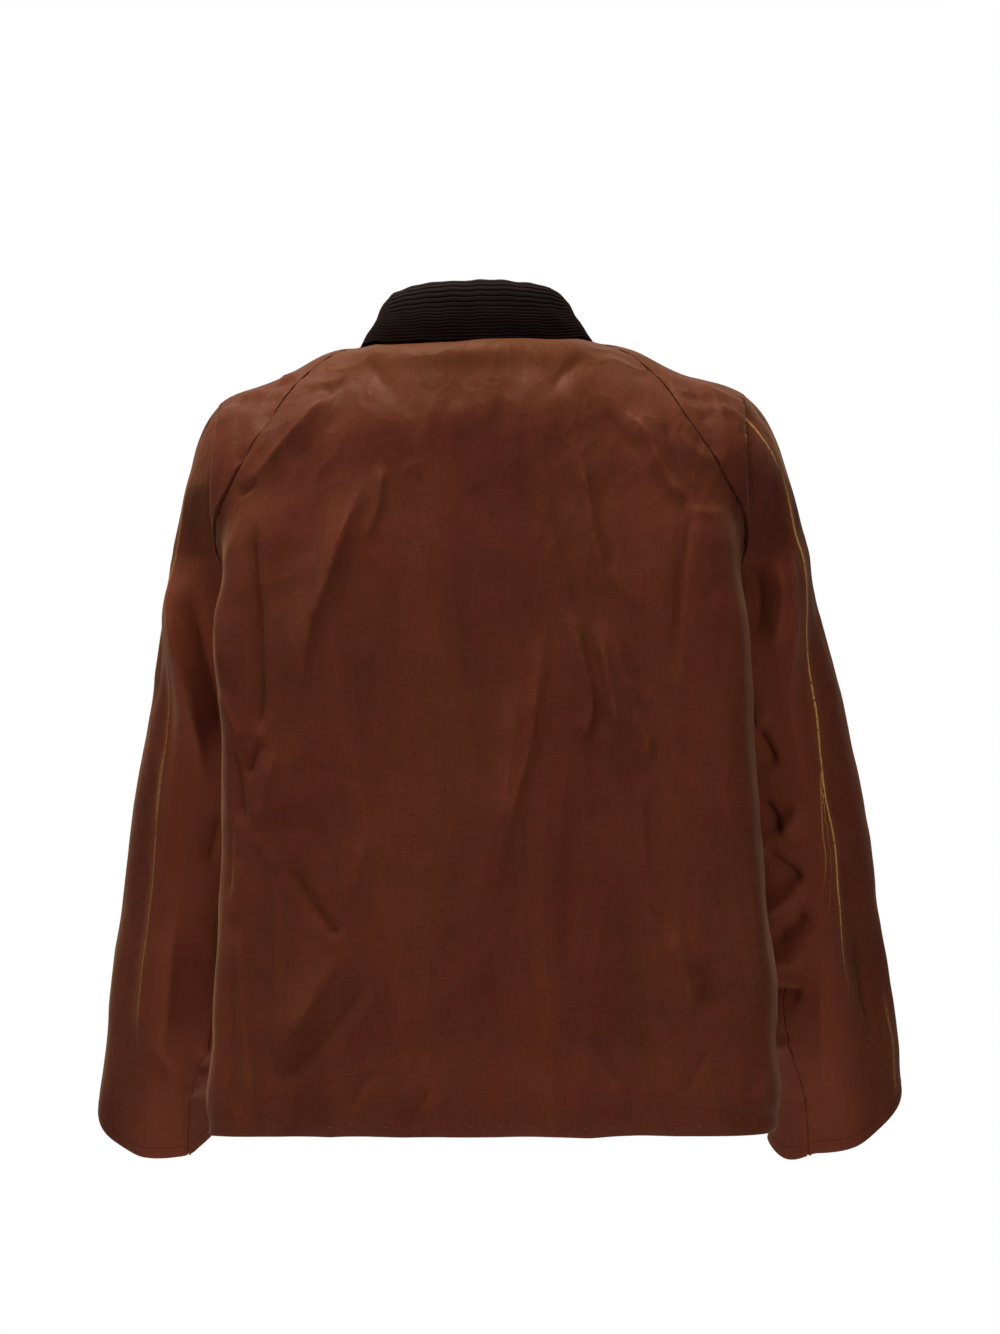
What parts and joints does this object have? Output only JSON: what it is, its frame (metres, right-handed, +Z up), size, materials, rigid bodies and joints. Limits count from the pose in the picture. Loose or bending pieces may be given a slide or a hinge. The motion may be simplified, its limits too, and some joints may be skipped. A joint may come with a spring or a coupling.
{
  "type": "waxed cotton jacket",
  "caption": "Short waxed cotton jacket with raglan sleeves, a corduroy collar, a closed front zip and turned hems, filled out as if worn.",
  "frame": {"origin": "centre of the neck opening, level with the back neck seam, where the jacket is held", "axes": "+Z up to the collar, the front faces -Y, the wearer's left sleeve is towards +X"},
  "size_m": [0.7553, 0.3634, 0.8064],
  "materials": {
    "waxed_cotton": "waxed, soft sheen, two-tone rust and olive",
    "corduroy": "dark brown cotton corduroy, wales round the neck",
    "zip_tape": "dark brown woven tape",
    "brass": "satin brass"
  },
  "bodies": {
    "jacket": {"back": "waxed_cotton", "front_left": "waxed_cotton", "front_right": "waxed_cotton", "sleeve_left": "waxed_cotton", "sleeve_right": "waxed_cotton", "collar_stand": "waxed_cotton", "collar_fall": "corduroy", "zip_tape_left": "zip_tape", "zip_tape_right": "zip_tape", "zip_chain": "brass", "zip_slider": "brass"},
    "pull": {"zip_pull": "brass"}
  },
  "joints": [
    {"name": "pull_hinge", "type": "hinge", "parent": "jacket", "child": "pull", "pos_m": [0, -0.11062, -0.07738], "axis": [-1, 0, 0], "range_deg": [0, 165]}
  ]
}
